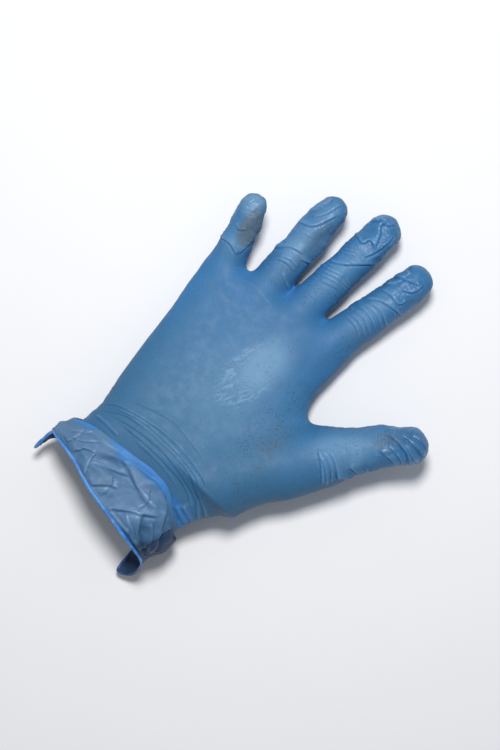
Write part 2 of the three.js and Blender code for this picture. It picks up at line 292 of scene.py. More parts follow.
def hashed(ix, iy, iz, seed):
    """A fixed number from -1 to 1 for each whole-number place."""
    with np.errstate(over="ignore"):
        h = ix.astype(np.uint32) * np.uint32(73856093)
        h ^= iy.astype(np.uint32) * np.uint32(19349663)
        h ^= iz.astype(np.uint32) * np.uint32(83492791)
        h ^= np.uint32(seed * 2654435761 % 2**32)
        h = (h ^ (h >> np.uint32(15))) * np.uint32(2246822519)
        h = (h ^ (h >> np.uint32(13))) * np.uint32(3266489917)
        h ^= h >> np.uint32(16)
    return h / 2147483647.5 - 1


def noise(points, size, seed):
    """Smooth noise from -1 to 1 with bumps about size across. size is one number or one per axis."""
    p = points / np.asarray(size, float) + 1000
    low = np.floor(p).astype(np.int64)
    f = p - low
    f = f * f * f * (f * (f * 6 - 15) + 10)
    total = np.zeros(len(p))
    for corner in np.ndindex(2, 2, 2):
        wx, wy, wz = (f[:, i] if far else 1 - f[:, i] for i, far in enumerate(corner))
        total += wx * wy * wz * hashed(*(low + corner).T, seed)
    return total


def facets(points, size, seed):
    """Random heights from -1 to 1 joined by flat facets, each about size across."""
    p = points / np.asarray(size, float) + 1000
    corner = np.floor(p).astype(np.int64)
    f = p - corner
    order = np.argsort(-f, axis=1)
    share = np.take_along_axis(f, order, 1)
    total = (1 - share[:, 0]) * hashed(*corner.T, seed)
    rows = np.arange(len(p))
    for k in range(3):
        corner[rows, order[:, k]] += 1
        left = share[:, k] - (share[:, k + 1] if k < 2 else 0)
        total += left * hashed(*corner.T, seed)
    return total


# ---- the hand as a distance field ----
def turned(angle, a, b):
    """The matrix of a turn that takes axis number a towards axis number b."""
    m = np.eye(3)
    m[a, a] = m[b, b] = math.cos(angle)
    m[a, b], m[b, a] = -math.sin(angle), math.sin(angle)
    return m


def turn_matrix(digit):
    """Columns are a digit's own axes: across, along, and out of the pad."""
    pitch, roll, yaw = (math.radians(v) for v in (digit["pitch"], digit["roll"], -digit["yaw"]))
    return turned(yaw, 0, 1) @ turned(pitch, 1, 2) @ turned(roll, 2, 0)


for name, digit in DIGITS.items():
    digit["turn"] = turn_matrix(digit)
    digit["parts"] = ("root", "tip") if name == "thumb" else ("root", "middle", "tip")


def in_digit(points, digit):
    """Points in a digit's own frame: across, station along, out of the pad."""
    return (points - np.array(digit["root"], float)) @ digit["turn"]


def digit_field(points, digit):
    local = in_digit(points, digit)
    stations, radii = zip(*digit["radius"])
    if digit is DIGITS["thumb"]:
        bow = 2.2 * (1 - ((local[:, 1] - 28) / 32) ** 2)  # the thumb bows towards the index finger
        side = np.array((-0.787, 0.61, 0)) @ digit["turn"]
        local = local - np.clip(bow, -3, 3)[:, None] * side
    along = np.clip(local[:, 1], stations[0], stations[-1])
    radius = smooth_curve(along, stations, radii)
    depth = local[:, 2] / FLATTEN
    return np.sqrt(local[:, 0] ** 2 + (local[:, 1] - along) ** 2 + depth**2) - radius


def ball_field(points):
    nearest = np.full(len(points), 1e3)
    for (*a, start), (*b, end) in zip(THUMB_BALL, THUMB_BALL[1:]):
        t, gap = from_segment(points, np.array(a, float), np.array(b, float))
        nearest = smooth_min(nearest, np.sqrt((gap**2).sum(1)) - (start + t * (end - start)), 3)
    return nearest


def palm_field(points):
    ys, left, right, low, high, slant = zip(*PALM)
    across, depth = points[:, 0], points[:, 2]
    y = points[:, 1] - smooth_curve(points[:, 1], ys, slant) * across
    left, right = smooth_curve(y, ys, left), smooth_curve(y, ys, right)
    low, high = smooth_curve(y, ys, low), smooth_curve(y, ys, high)
    half_x, half_z = (right - left) / 2, (high - low) / 2
    u = np.abs(across - (left + right) / 2) / half_x
    v = np.abs(depth - (low + high) / 2) / half_z
    size = (u**SQUARENESS + v**SQUARENESS) ** (1 / SQUARENESS)
    steep = np.hypot(u ** (SQUARENESS - 1) / half_x, v ** (SQUARENESS - 1) / half_z)
    steep = np.maximum(steep * np.maximum(size, 0.05) ** (1 - SQUARENESS), 0.4 / half_x)
    return smooth_max((size - 1) / steep, y - PALM_FRONT, 12)


def hand_field(points):
    d = smooth_min(palm_field(points), ball_field(points), 14)
    for name, digit in DIGITS.items():
        d = smooth_min(d, digit_field(points, digit), 13 if name == "thumb" else 4.5)
    return smooth_max(d, -points[:, 2] - 0.2, 3)


def on_surface(points, rounds=2):
    """Points moved onto the field's surface."""
    step = 0.05
    for _ in range(rounds):
        d = hand_field(points)
        slope = np.stack([(hand_field(points + step * axis) - d) / step for axis in np.eye(3)], 1)
        points = points - (d / np.maximum((slope**2).sum(1), 0.1))[:, None] * slope
    return points


def surface_net(low, high, cell):
    """The hand field's surface as an array of vertices and an array of quads."""
    axes = [np.arange(a, b + cell, cell) for a, b in zip(low, high)]
    shape = tuple(len(a) for a in axes)
    values = np.empty(shape, np.float32)
    yy, zz = np.meshgrid(axes[1], axes[2], indexing="ij")
    for i, x in enumerate(axes[0]):
        slab = np.stack([np.full(yy.size, x), yy.ravel(), zz.ravel()], 1)
        values[i] = hand_field(slab).reshape(yy.shape)
    inside = values < 0
    corners = list(np.ndindex(2, 2, 2))

    def shifted(a, offset):
        return a[tuple(slice(o, n - 1 + o) for o, n in zip(offset, shape))]

    count = sum(shifted(inside, c).astype(np.int8) for c in corners)
    cells = np.argwhere((count > 0) & (count < 8))
    at = {c: values[tuple((cells + c).T)] for c in corners}
    total = np.zeros((len(cells), 3))
    hits = np.zeros(len(cells))
    for a in corners:
        for axis in range(3):
            if a[axis]:
                continue
            b = tuple(1 if i == axis else v for i, v in enumerate(a))
            crossed = (at[a] < 0) != (at[b] < 0)
            share = np.where(crossed, at[a] / np.where(crossed, at[a] - at[b], 1), 0)
            place = np.tile(np.array(a, float), (len(cells), 1))
            place[:, axis] += share
            total += place * crossed[:, None]
            hits += crossed
    vertices = (cells + total / hits[:, None]) * cell + np.array([a[0] for a in axes])
    number = np.full(tuple(n - 1 for n in shape), -1, np.int64)
    number[tuple(cells.T)] = np.arange(len(cells))
    quads = []
    for axis in range(3):
        start, end = np.delete(inside, -1, axis), np.delete(inside, 0, axis)
        sides = [i for i in range(3) if i != axis]
        last = np.array(shape)[sides] - 1
        for outward in (True, False):
            edges = np.argwhere(start & ~end if outward else ~start & end)
            edges = edges[((edges[:, sides] > 0) & (edges[:, sides] < last)).all(1)]
            ring = []
            for step in ((0, 0), (-1, 0), (-1, -1), (0, -1)):
                cell_at = edges.copy()
                cell_at[:, sides] += step
                ring.append(number[tuple(cell_at.T)])
            quad = np.stack(ring, 1)
            quads.append(quad if outward == (axis != 1) else quad[:, ::-1])
    return vertices, np.vstack(quads)


def neighbour_mean(vertices, faces):
    """The mean of each vertex's neighbours along the quads' edges."""
    a = faces.ravel()
    b = np.roll(faces, 1, axis=1).ravel()
    ends, others = np.concatenate([a, b]), np.concatenate([b, a])
    count = np.bincount(ends, minlength=len(vertices))
    sums = [np.bincount(ends, vertices[others, i], len(vertices)) for i in range(3)]
    return np.stack(sums, 1) / np.maximum(count, 1)[:, None]


def sharpness(vertices, normals, quads):
    """How far each vertex stands above the mean of its neighbours: most on ridges, least in grooves."""
    return ((vertices - neighbour_mean(vertices, quads)) * normals).sum(1)


def divided(vertices, quads):
    """Each quad as four."""
    edges = np.stack([quads, np.roll(quads, -1, axis=1)], 2).reshape(-1, 2)
    edges.sort(axis=1)
    edges, number = np.unique(edges, axis=0, return_inverse=True)
    middle = number.reshape(-1, 4) + len(vertices)
    centre = np.arange(len(quads)) + len(vertices) + len(edges)
    places = (vertices, vertices[edges].mean(1), vertices[quads].mean(1))
    corners = [(quads[:, i], middle[:, i], centre, middle[:, i - 1]) for i in range(4)]
    return np.vstack(places), np.vstack([np.stack(c, 1) for c in corners])


def hand_surface():
    low = (-68, HAND_END - 6, -1.5)
    high = (107, 131, 44)
    vertices, quads = surface_net(low, high, NET_CELL)
    if CELL < NET_CELL:
        vertices, quads = divided(on_surface(vertices, 1), quads)
    for _ in range(4):
        vertices = vertices + 0.6 * (neighbour_mean(vertices, quads) - vertices)
        vertices = on_surface(vertices, 1)
    return on_surface(vertices, 2), quads


# ---- wrinkles: how far the film stands out, in millimetres ----
def warped(points, size, much, seed):
    """Points pushed about by noise, so that creases wander."""
    push = np.stack([noise(points, size, seed + i) for i in range(3)], 1)
    return points + much * push


def crumple(points, size, seed):
    """Flat facets with sharp edges between them, in two sizes."""
    coarse = facets(points, size, seed)
    return coarse + 0.4 * facets(points, np.asarray(size) * 0.45, seed + 1)


def fold_line(away, width):
    """A fold where away is 0: the film climbs to it slowly on one side and drops on the other."""
    climb = np.clip(1 - away / (7 * width), 0, 1) ** 1.3
    drop = np.clip(1 + away / (1.3 * width), 0, 1)
    groove = np.exp(-(((away + 1.6 * width) / (0.7 * width)) ** 2))
    return np.where(away > 0, climb, drop) - 0.28 * groove


def open_curve(points, steps=5):
    """A smooth curve through the points, each stretch cut into steps."""
    p = np.asarray(points, float)
    p = np.vstack([2 * p[0] - p[1], p, 2 * p[-1] - p[-2]])
    f = (np.arange(steps) / steps)[:, None]
    runs = [curve_between(*four, f) for four in zip(p, p[1:], p[2:], p[3:])]
    return np.vstack([*runs, p[-2]])


def placed_folds(points, folds):
    """How far the listed folds stand out at points that are seen from above."""
    height = np.zeros(len(points))
    for lift, width, *path in folds:
        curve = open_curve(path)
        reach = 9 * width
        near = ((points[:, :2] > curve.min(0) - reach) & (points[:, :2] < curve.max(0) + reach)).all(1)
        p = points[near, :2]
        away = np.full(len(p), 1e3)
        along = np.zeros(len(p))
        for i, (a, b) in enumerate(zip(curve, curve[1:])):
            t, gap = from_segment(p, a, b)
            side = np.sign((b - a)[0] * gap[:, 1] - (b - a)[1] * gap[:, 0])
            far = np.hypot(*gap.T)
            closer = far < np.abs(away)
            away[closer] = (side * far)[closer]
            along[closer] = (i + t[closer]) / (len(curve) - 1)
        fade = between(along, 0, 0.16, 0.84, 1)
        height[near] += lift * fade * fold_line(away, width)
    return height


def wrist_wrinkles(points, normals):
    y, z = points[:, 1], points[:, 2]
    side = 1 - smooth_step(np.abs(normals[:, 2]), 0.1, 0.75)
    near = between(y, -72, -58, -48, -34)
    height = 0.5 * side * near * crumple(warped(points, 8, 2, 31), (12, 3.4, 12), 33)
    back = 1 - smooth_step(z, 4, 14)
    return height + 0.3 * back * near * crumple(warped(points, 8, 2, 34), (16, 4, 9), 35)


def stall_wrinkles(local, digit, name):
    """Transverse creases where the finger bends, and crumples where its tip doesn't fill the film."""
    x, s, _ = local.T
    length = digit["length"]
    seed = 50 + 10 * list(DIGITS).index(name)
    radius = 10
    curve = 2.4 * (x / radius) ** 2
    wander = 1.9 * noise(local, (11, 9, 11), seed) + 0.7 * noise(local, (5, 4, 5), seed + 1)
    phase = (s + curve + wander) / 2.3
    ripple = np.abs((phase % 1) - 0.5) * 4 - 1  # sharp crests
    patchy = smooth_step(noise(local, (6, 7, 6), seed + 2), -0.2, 0.4) * (0.4 if name == "thumb" else 1)
    bend, half = digit["bends"][1]
    near_bend = bump_at(s, bend + 1, half + 4)
    height = (0.08 + 0.2 * near_bend) * patchy * ripple
    loose = smooth_step(s, length - 34, length - 18) * (0.75 + 0.5 * noise(local, 14, seed + 3))
    folded = crumple(warped(local, 6, 2.0, seed + 4), (8, 11, 8), seed + 7)
    height += 0.95 * loose * folded
    crinkled = smooth_step(noise(local, 9, seed + 20), -0.3, 0.3)
    fine = facets(warped(local, 5, 1.0, seed + 21), (3.4, 5, 3.4), seed + 24)
    height += 0.26 * loose * crinkled * fine
    sides = smooth_step(np.abs(x) / radius, 0.45, 0.9)
    gathered = crumple(warped(local, 7, 1.5, seed + 9), (9, 3.4, 9), seed + 12)
    return height + (0.42 if name == "thumb" else 0.35) * sides * gathered


def hand_wrinkles(points, normals):
    facing = smooth_step(normals[:, 2], -0.25, 0.3)
    height = 0.12 * noise(points, 17, 3) + 0.05 * noise(points, 6, 4)
    height += wrist_wrinkles(points, normals)
    height += 0.5 * spot(points, (-54, 14, 18), (12, 34, 26)) * crumple(points, (9, 9, 9), 15)
    for name, digit in DIGITS.items():
        local = in_digit(points, digit)
        near = (digit_field(points, digit) < 3.5) & (local[:, 1] > -2)
        inside = smooth_step(local[near, 1], 0, 8)
        height[near] += inside * stall_wrinkles(local[near], digit, name)
    for folds, lift in ((FINGER_FOLDS, 1.2), (THUMB_FOLDS, 1.2), (WRIST_FOLDS, 1)):
        height += lift * facing * placed_folds(points, folds)
    return height


def cuff_wrinkles(points, normals, ring):
    """Facets all round the loose cuff, and its own folds over the palm side."""
    loose = between(ring, LOOSE_FROM, LOOSE_FROM + 0.06, 0.93, 0.99)
    height = 1.15 * crumple(warped(points, 11, 2.0, 71), (15, 12, 15), 72)
    crinkled = smooth_step(noise(points, 12, 75), -0.2, 0.3)
    height += 0.4 * crinkled * facets(warped(points, 5, 1.0, 77), (4.5, 3.6, 4.5), 78)
    height += smooth_step(normals[:, 2], -0.1, 0.4) * placed_folds(points, CUFF_FOLDS)
    return loose * height


# ---- wrist and cuff: rings from the hand's open end to the rim ----
def rounded_ring(turns, left, right, low, high, y):
    power = 2 / SQUARENESS
    c, s = np.cos(turns), np.sin(turns)
    x = (left + right) / 2 + (right - left) / 2 * np.sign(c) * np.abs(c) ** power
    z = (low + high) / 2 + (high - low) / 2 * np.sign(s) * np.abs(s) ** power
    return np.stack([x, np.full(len(x), float(y)), z], 1)


def closed_curve(points, count):
    """A smooth closed curve through the points."""
    p = np.asarray(points, float)
    t = np.arange(count) / count * len(p)
    i = t.astype(int)
    f = (t - i)[:, None]
    return curve_between(*(p[(i + k) % len(p)] for k in (-1, 0, 1, 2)), f)


def rim_ring(turns):
    curve = closed_curve(RIM, 1200)
    angle = np.arctan2((curve[:, 2] - 22) * 2.1, curve[:, 0] + 5)
    order = np.argsort(angle)
    wrapped = (turns + math.pi) % (2 * math.pi) - math.pi
    angle, curve = angle[order], curve[order]
    return np.stack([np.interp(wrapped, angle, curve[:, i], period=2 * math.pi) for i in range(3)], 1)


def cuff_rings(first):
    """Rings from the hand's open end, through the wrist and its fold, to the rim."""
    turns = np.arctan2((first[:, 2] - WRIST_Z) / 18.5, (first[:, 0] - WRIST_X) / 40)
    even = turns[0] + np.arange(len(turns)) / len(turns) * 2 * math.pi
    even += np.angle(np.exp(1j * (turns - even))).mean()
    edge_x, edge_y = zip(*FOLD_EDGE)

    def ring(left, right, low, high, y, slant, right_slant=None):
        """A ring at y, which follows the fold's edge by the share slant, and another on the right."""
        made = rounded_ring(even, left, right, low, high, y)
        x = made[:, 0]
        share = slant if right_slant is None else slant + (right_slant - slant) * smooth_step(x, 10, 22)
        made[:, 1] += share * (smooth_curve(x, edge_x, edge_y) - FOLD_Y)
        return made

    keys = [
        (0, first),
        (6, ring(-39.7, 46.0, 1.2, 37.3, -52, 0.4, 0)),
        (12, ring(-40.6, 40.0, 1.5, 36.6, FOLD_Y - 1, 0.85, 0.12)),
        (VALLEY, ring(-41.2, 35.5, 1.6, 36.6, FOLD_Y - 3.2, 1)),
        (FOLD, ring(-44.6, 35.6, 1.2, 40.6, FOLD_Y + 0.7, 1)),
        (27, ring(-45.8, 35.4, 1.0, 41.6, FOLD_Y - 4, 1)),
        (34, ring(-46.2, 35.8, 1.0, 41.8, FOLD_Y - 12.5, 0.6)),
        (43, None),
        (RIM_END, rim_ring(even)),
    ]
    before, rim = keys[6][1], keys[8][1]
    keys[7] = (43, before + 0.42 * (rim - before))
    spots = [k for k, _ in keys]
    table = np.stack([points for _, points in keys])
    count = int(round(RIM_END / (CELL * 0.9)))
    return [smooth_curve(v, spots, table) for v in np.linspace(0, RIM_END, count + 1)[1:]]


def crumple_cuff(points, ring, faces):
    """Lets the loose cuff buckle as cloth that is a little too big for the space between its ends."""
    scale = 0.05  # simulation units for a millimetre
    loose = set(np.flatnonzero(ring >= LOOSE_FROM).tolist())
    mesh, used = cut_out("cuff_cloth", [f for f in faces if loose.issuperset(f)], points, scale)
    cloth = placed("cuff_cloth", mesh)
    held = cloth.vertex_groups.new(name="held")
    gap = 1.2 / 50  # how wide the held strips are, as a share of the way from the hand to the rim
    for new, old in enumerate(used):
        near_end = min(ring[old] - LOOSE_FROM, 1 - ring[old])
        if near_end < gap:
            held.add([new], 1.0, "REPLACE")
    settings = cloth.modifiers.new("cloth", "CLOTH").settings
    settings.vertex_group_mass = "held"
    settings.quality = 5
    settings.mass = 0.15
    settings.tension_stiffness = settings.compression_stiffness = 18
    settings.shear_stiffness = 6
    settings.bending_stiffness = 0.02
    settings.shrink_min = -0.15  # the film is this much longer than its space
    settings.effector_weights.gravity = 0
    settings.air_damping = 4
    for frame_number in range(1, 26):
        bpy.context.scene.frame_set(frame_number)
    seen = cloth.evaluated_get(bpy.context.evaluated_depsgraph_get())
    moved = points.copy()
    moved[used] = array_of(seen.data.vertices, "co", 3) / scale
    bpy.data.objects.remove(cloth)
    bpy.context.scene.frame_set(1)
    shift = moved - points
    far = np.linalg.norm(shift, axis=1)
    cap = 5.0  # no place is pushed further than this
    shift *= (np.minimum(far, cap) / np.maximum(far, 1e-9))[:, None]
    quads = np.array([f for f in faces if len(f) == 4])
    for _ in range(8):
        shift = 0.4 * shift + 0.6 * neighbour_mean(shift, quads)
    free = between(ring, LOOSE_FROM, LOOSE_FROM + 0.12, 0.92, 1)
    return points + shift * free[:, None]


# ---- one mesh, cut along the joints ----
def placed(name, data):
    """A new object in the scene."""
    made = bpy.data.objects.new(name, data)
    bpy.context.scene.collection.objects.link(made)
    return made


def cut_out(name, faces, points, scale):
    """A mesh of some of the film's faces, and the numbers its vertices have in the film."""
    used = np.unique(np.concatenate([np.array(f) for f in faces]))
    number = {old: new for new, old in enumerate(used)}
    mesh = bpy.data.meshes.new(name)
    mesh.from_pydata((points[used] * scale).tolist(), [], [[number[i] for i in f] for f in faces])
    return mesh, used


def smooth_and_mask(mesh, masks):
    """Shades a mesh smooth, and stores the masks its material reads."""
    mesh.polygons.foreach_set("use_smooth", [True] * len(mesh.polygons))
    for name, values in masks.items():
        layer = mesh.attributes.new(name, "FLOAT", "POINT")
        layer.data.foreach_set("value", np.clip(values, 0, 1).astype(np.float32))


def array_of(mesh_part, name, width):
    flat = np.empty(len(mesh_part) * width)
    mesh_part.foreach_get(name, flat)
    return flat.reshape(-1, width) if width > 1 else flat


def cut_across(bm, digit, station, slant):
    """Adds edges along a plane across one digit, and leaves its neighbours alone."""
    centres = np.array([f.calc_center_median() for f in bm.faces], float)
    local = in_digit(centres, digit)
    near = np.abs(local[:, 1] - slant * local[:, 0] - station) < 2.5 * CELL
    near[near] = np.hypot(local[near, 0], local[near, 2]) < digit["stray"] + WIDEST
    near[near] = digit_field(centres[near], digit) < digit["stray"] + 0.5
    bm.faces.ensure_lookup_table()
    faces = [bm.faces[i] for i in np.flatnonzero(near)]
    edges = dict.fromkeys(e for f in faces for e in f.edges)
    verts = dict.fromkeys(v for f in faces for v in f.verts)
    normal = digit["turn"] @ (-slant, 1, 0)
    at = np.array(digit["root"], float) + digit["turn"][:, 1] * station
    bmesh.ops.bisect_plane(
        bm, geom=[*verts, *edges, *faces], dist=0.02, plane_co=Vector(at), plane_no=Vector(normal)
    )


def whole_film():
    """The hand, wrist and cuff as one mesh, with how far each vertex lies along from hand to rim."""
    vertices, quads = hand_surface()
    bm = bmesh.new()
    ring_number = bm.verts.layers.float.new("ring")
    made = [bm.verts.new(v) for v in vertices]
    for q in quads:
        bm.faces.new([made[i] for i in q])
    bmesh.ops.bisect_plane(
        bm, geom=[*bm.verts, *bm.edges, *bm.faces], dist=0.02,
        plane_co=(0, HAND_END, 0), plane_no=(0, -1, 0), clear_outer=True,
    )
    for digit in DIGITS.values():
        for i, station in enumerate(digit["cuts"]):
            cut_across(bm, digit, station, 0 if i else digit["slant"])
    open_end = [v for v in bm.verts if v.is_boundary]
    bmesh.ops.remove_doubles(bm, verts=open_end, dist=0.3 * CELL)
    open_end = [v for v in bm.verts if v.is_boundary]
    open_end.sort(key=lambda v: math.atan2((v.co.z - WRIST_Z) * 2.1, v.co.x - WRIST_X))
    first = np.array([v.co for v in open_end], float)
    rings = cuff_rings(first)
    before = open_end
    for number, ring in enumerate(rings, 1):
        now = [bm.verts.new(p) for p in ring]
        for v in now:
            v[ring_number] = number / len(rings)
        for i in range(len(now)):
            j = (i + 1) % len(now)
            bm.faces.new((before[i], before[j], now[j], now[i]))
        before = now
    mesh = bpy.data.meshes.new("film")
    bmesh.ops.recalc_face_normals(bm, faces=bm.faces)
    bm.to_mesh(mesh)
    bm.free()
    return mesh


def label_faces(centres, ring):
    """Which piece each face belongs to."""
    label = np.full(len(centres), "palm_film", dtype=object)
    for name, digit in DIGITS.items():
        local = in_digit(centres, digit)
        near = local[:, 1] - digit["slant"] * local[:, 0] > digit["cuts"][0]
        near &= np.hypot(local[:, 0], local[:, 2]) < digit["stray"] + WIDEST
        near[near] = digit_field(centres[near], digit) < digit["stray"]
        label[near] = f"{name}_root_film"
        for part, cut in zip(digit["parts"][1:], digit["cuts"][1:]):
            label[near & (local[:, 1] > cut)] = f"{name}_{part}_film"
    label[ring > 0] = "wrist_film"
    label[(ring > 0) & (centres[:, 1] < WRIST_CUT)] = "cuff_film"
    return label


# ---- material ----
class Nodes:
    """Short ways to add shader nodes to one material."""

    def __init__(self, name):
        self.material = bpy.data.materials.new(name)
        self.material.use_nodes = True
        self.tree = self.material.node_tree
        self.tree.nodes.clear()

    def add(self, kind, **settings):
        node = self.tree.nodes.new(kind)
        for key, value in settings.items():
            setattr(node, key, value)
        return node

    def link(self, source, target):
        self.tree.links.new(source, target)

    def put(self, socket, value):
        if isinstance(value, bpy.types.NodeSocket):
            self.link(value, socket)
        else:
            socket.default_value = value

    def mask(self, name):
        return self.add("ShaderNodeAttribute", attribute_name=name).outputs["Fac"]

    def place(self, scale=(1, 1, 1), turn=0.0):
        """Object coordinates, turned about Z and then stretched."""
        where = self.add("ShaderNodeTexCoord").outputs["Object"]
        moved = self.add("ShaderNodeMapping", vector_type="TEXTURE")
        self.link(where, moved.inputs["Vector"])
        moved.inputs["Scale"].default_value = scale
        moved.inputs["Rotation"].default_value = (0, 0, turn)
        return moved.outputs["Vector"]

    def noise(self, size_mm, detail=3, rough=0.55, place=None, twist=0.0):
        node = self.add("ShaderNodeTexNoise")
        self.link(place or self.place(), node.inputs["Vector"])
        values = {"Scale": 1 / (size_mm * MM), "Detail": detail, "Roughness": rough, "Distortion": twist}
        for key, value in values.items():
            node.inputs[key].default_value = value
        return node.outputs["Fac"]

    def ramp(self, value, low, high, bottom=0.0, top=1.0):
        node = self.add("ShaderNodeMapRange", interpolation_type="SMOOTHSTEP")
        self.put(node.inputs["Value"], value)
        for key, number in zip(("From Min", "From Max", "To Min", "To Max"), (low, high, bottom, top)):
            node.inputs[key].default_value = number
        return node.outputs["Result"]

    def math(self, operation, a, b=0.0):
        node = self.add("ShaderNodeMath", operation=operation)
        self.put(node.inputs[0], a)
        self.put(node.inputs[1], b)
        return node.outputs[0]

    def times(self, a, b):
        return self.math("MULTIPLY", a, b)

    def mix(self, share, a, b):
        node = self.add("ShaderNodeMix", data_type="RGBA")
        self.put(node.inputs["Factor"], share)
        self.put(node.inputs["A"], a)
        self.put(node.inputs["B"], b)
        return node.outputs["Result"]

    def bump(self, height, deep_mm, strength=1.0, under=None):
        node = self.add("ShaderNodeBump")
        node.inputs["Distance"].default_value = deep_mm * MM
        self.put(node.inputs["Strength"], strength)
        self.link(height, node.inputs["Height"])
        if under:
            self.link(under, node.inputs["Normal"])
        return node.outputs["Normal"]

    def surface(self, colour, rough, normal=None):
        """The material's one shader. Returns its sockets."""
        shader = self.add("ShaderNodeBsdfPrincipled")
        self.put(shader.inputs["Base Color"], colour)
        self.put(shader.inputs["Roughness"], rough)
        if normal:
            self.link(normal, shader.inputs["Normal"])
        out = self.add("ShaderNodeOutputMaterial")
        self.link(shader.outputs["BSDF"], out.inputs["Surface"])
        return shader.inputs


def srgb(r, g, b):
    """A colour given as on a screen, 0 to 255."""
    def linear(c):
        c /= 255
        return c / 12.92 if c <= 0.04045 else ((c + 0.055) / 1.055) ** 2.4
    return (linear(r), linear(g), linear(b), 1)


TAUT_BLUE = srgb(45, 110, 160)
HEEL_BLUE = srgb(47, 102, 140)
# Random darker mottles, and painted shade in grooves.
DEEP_BLUE = srgb(40, 88, 136)
# Random lighter grain, and the painted sheen.
PALE_BLUE = srgb(112, 153, 187)
# Painted highlights along ridges: bluer on the taut film, greyer on the loose cuff.
HIGHLIGHT_BLUE = srgb(96, 150, 200)
HIGHLIGHT_GREY = srgb(120, 151, 184)
# Stretched film, and painted rim light on the edges towards the light.
STRETCH_AND_RIM_LIGHT_BLUE = srgb(54, 122, 190)
LOOSE_GREY = srgb(82, 118, 154)
DIRT_GREY = srgb(92, 104, 112)
SHADE_NAVY = srgb(6, 42, 80)
SPECK_GREY = srgb(46, 74, 86)


def nitrile(name):
    """Thin nitrile film: mottled blue, greyer where loose, with work dirt, and with painted light: a
    sheen where taut, highlights on ridges and lit edges, shade in grooves and shaded corners.
    """
    n = Nodes(name)
    clouds = n.noise(34, 3, 0.5)
    grain = n.noise(1.1, 4, 0.7)
    where = n.add("ShaderNodeSeparateXYZ")
    n.link(n.place(), where.inputs["Vector"])
    fingerward = n.ramp(where.outputs["Y"], -55 * MM, 60 * MM)
    # Painted highlights along ridges.
    ridge_highlight = n.mix(n.mask("loose"), HIGHLIGHT_BLUE, HIGHLIGHT_GREY)
    # The painted sheen, streaky on part of the palm.
    sheen_streaks = n.noise(1.5, 5, 0.7, n.place(scale=(1, 4.5, 1), turn=-0.32), 0.3)
    streaked_sheen = n.times(n.mask("sheen_streaks"), n.ramp(sheen_streaks, 0.44, 0.58))
    sheen_highlight = n.math("MAXIMUM", n.mask("painted_sheen"), streaked_sheen)
    grime = n.math("ADD", n.noise(1.3, 6, 0.8), n.times(n.mask("dirt"), 0.42))
    smear = n.ramp(grime, 0.62, 1.02, 0, 0.85)
    dots = n.ramp(grain, 0.53, 0.6)
    clusters = n.ramp(n.noise(9, 4, 0.65), 0.4, 0.56)
    speck = n.times(n.times(dots, clusters), n.mask("specks"))
    colour = n.mix(fingerward, HEEL_BLUE, TAUT_BLUE)
    # Layers over the base blue: the ridge highlights, groove shade, sheen, rim light and shade are
    # painted light; mottles, grain, loose grey, stretch, dirt and specks are the film's own colour.
    for much, layer in (
        (n.ramp(clouds, 0.35, 0.7, 0, 0.2), DEEP_BLUE),
        (n.ramp(grain, 0.3, 0.75, 0, 0.14), PALE_BLUE),
        (n.mask("loose"), LOOSE_GREY),
        (n.mask("stretch_and_rim_light"), STRETCH_AND_RIM_LIGHT_BLUE),
        (n.times(n.mask("crest_highlight"), 0.7), ridge_highlight),
        (n.times(n.mask("hollow"), 0.55), DEEP_BLUE),
        (n.times(sheen_highlight, 0.8), PALE_BLUE),
        (smear, DIRT_GREY),
        (n.times(speck, 0.7), SPECK_GREY),
        (n.times(n.mask("shade"), 0.85), SHADE_NAVY),
    ):
        colour = n.mix(much, colour, layer)
    rough = n.ramp(n.noise(5, 4, 0.6), 0.3, 0.7, 0.55, 0.66)
    for much, change in (
        (n.mask("puckered"), -0.2), (n.mask("loose"), 0.08), (n.mask("crest_highlight"), -0.25), (smear, 0.2)
    ):
        rough = n.math("ADD", rough, n.times(much, change))
    skin = n.bump(n.noise(0.7, 3, 0.6), 0.05, 0.5)
    fine = n.noise(4.6, 2, 0.45, n.place(scale=(1, 0.7, 1)), 1.2)
    ridges = n.math("ABSOLUTE", n.math("SUBTRACT", fine, 0.5))
    much = n.ramp(n.mask("puckered"), 0, 1, 0, 0.6)
    sockets = n.surface(colour, rough, n.bump(n.times(ridges, -3), 0.55, much, skin))
    sockets["IOR"].default_value = 1.5
    sockets["Specular IOR Level"].default_value = 0.4
    sockets["Subsurface Weight"].default_value = 0.08
    sockets["Subsurface Radius"].default_value = (0.3, 0.6, 1.0)
    sockets["Subsurface Scale"].default_value = 1.2 * MM
    return n.material


# ---- where the film is loose, stretched or dirty, and where sheen, highlights, rim light and shade are painted ----
# A spot is how much, and then either a digit and the station, reach and place across on its pad,
# or the middle and the reach of a spot on the palm.
DIRT = (
    (1.3, "little", 24, 19, 4), (0.7, "ring", 36, 22, 5), (0.5, "ring", 12, 18, 4),
    (0.5, "middle", 22, 18, 8), (0.55, "index", 4, 14, 4), (0.35, "thumb", 35, 11, 5),
    (0.4, "thumb", 36, 36, 3), (0.8, (42, -42, 20), (18, 34, 26)), (0.8, (41, -10, 28), (20, 38, 26)),
)
SPECKS = (
    (0.8, (34, -12, 24), (26, 56, 30)), (0.8, (40, -34, 24), (20, 34, 30)),
    (0.5, (36, 22, 24), (18, 30, 30)), (0.8, (30, 58, 20), (14, 16, 20)),
    (0.5, "ring", 8, 16), (0.5, "middle", 4, 14),
)
# Painted sheen: lighter spots where the light catches the palm, the pads and the thumb's root.
PAINTED_SHEEN = (
    (1.0, (7, 24, 30), (17, 26, 30)), (0.45, (4, 4, 30), (38, 52, 34)),
    (1.0, "little", 37, 12), (0.4, "ring", 28, 16, -3), (0.5, "ring", 48, 13),
    (0.7, "thumb", 12, 24, 8),
)


